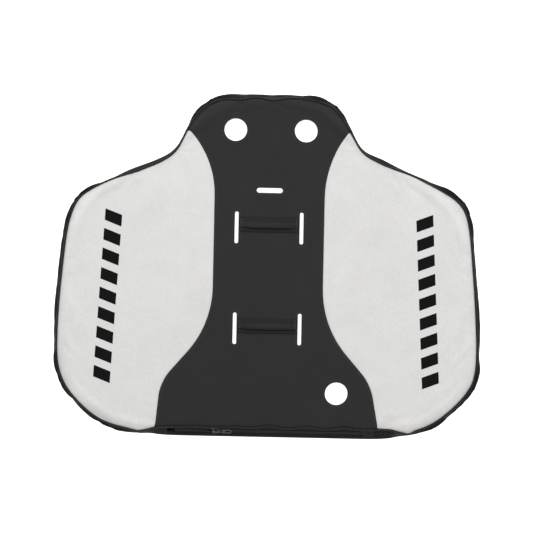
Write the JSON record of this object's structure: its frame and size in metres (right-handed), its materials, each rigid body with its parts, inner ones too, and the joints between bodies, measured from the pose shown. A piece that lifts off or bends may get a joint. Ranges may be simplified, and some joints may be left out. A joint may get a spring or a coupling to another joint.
{
  "type": "padded back cover",
  "caption": "Flat padded back cover with light side panels, a zip along its hem, valve holes and webbing slots.",
  "frame": {"origin": "centre of the outline, on the surface that the cover lies on with its front face up", "axes": "+X to the right seen from the front face, +Y up towards the neck, +Z out of the front face"},
  "size_m": [0.7014, 0.565, 0.0242],
  "materials": {
    "black_laminate": "matte black nylon bonded to thin foam, fine plain weave",
    "light_laminate": "light grey nylon bonded to thin foam, fine plain weave",
    "gusset_fabric": "matte black woven nylon",
    "piping": "black folded binding over a round cord",
    "seam_tape": "black tape",
    "foam": "closed cell foam",
    "stiffener": "thin polyethylene sheet",
    "liner": "satin black moulded sleeve",
    "webbing": "black ribbed webbing",
    "thread": "dense zigzag of black thread",
    "print": "black screen print, slightly glossy",
    "zip_tape": "black knitted tape",
    "zip_teeth": "satin black moulded teeth",
    "slider": "black enamel, slightly worn at the edges"
  },
  "bodies": {
    "cover": {"back_panel": "black_laminate", "back_piping": "piping", "foam_pad": "foam", "front_center_panel": "black_laminate", "front_left_panel": "light_laminate", "front_piping": "piping", "front_right_panel": "light_laminate", "gusset_left": "gusset_fabric", "gusset_right": "gusset_fabric", "gusset_top": "gusset_fabric", "keeper_base_lower": "webbing", "keeper_base_upper": "webbing", "keeper_flap_lower": "webbing", "keeper_flap_upper": "webbing", "keeper_tacks_lower": "thread", "keeper_tacks_upper": "thread", "panel_seam_tape_left": "seam_tape", "panel_seam_tape_right": "seam_tape", "printed_bars_left": "print", "printed_bars_right": "print", "slot_liner_lower_left": "liner", "slot_liner_lower_right": "liner", "slot_liner_top": "liner", "slot_liner_upper_left": "liner", "slot_liner_upper_right": "liner", "stiffener_sheet": "stiffener", "valve_hole_liner_left": "liner", "valve_hole_liner_lower": "liner", "valve_hole_liner_right": "liner", "zip_back_strip": "gusset_fabric", "zip_bottom_stop": "zip_teeth", "zip_end_tab_left": "webbing", "zip_end_tab_right": "webbing", "zip_front_strip": "gusset_fabric", "zip_tape_back": "zip_tape", "zip_tape_front": "zip_tape", "zip_teeth_back": "zip_teeth", "zip_teeth_front": "zip_teeth", "zip_top_stop_back": "zip_teeth", "zip_top_stop_front": "zip_teeth"},
    "slider": {"slider_body": "slider", "slider_bridge": "slider"},
    "pull": {"pull_tab": "slider"}
  },
  "joints": [
    {"name": "zip_slide", "type": "slide", "parent": "cover", "child": "slider", "axis": [1, 0, 0], "range_m": [-0.0577, 0.2327], "deforming": ["zip_teeth_front", "zip_teeth_back"]},
    {"name": "pull_swing", "type": "hinge", "parent": "slider", "child": "pull", "pos_m": [-0.0785, -0.27329, 0.01537], "axis": [0, -0.8818, -0.4717], "range_deg": [0, 180]}
  ]
}
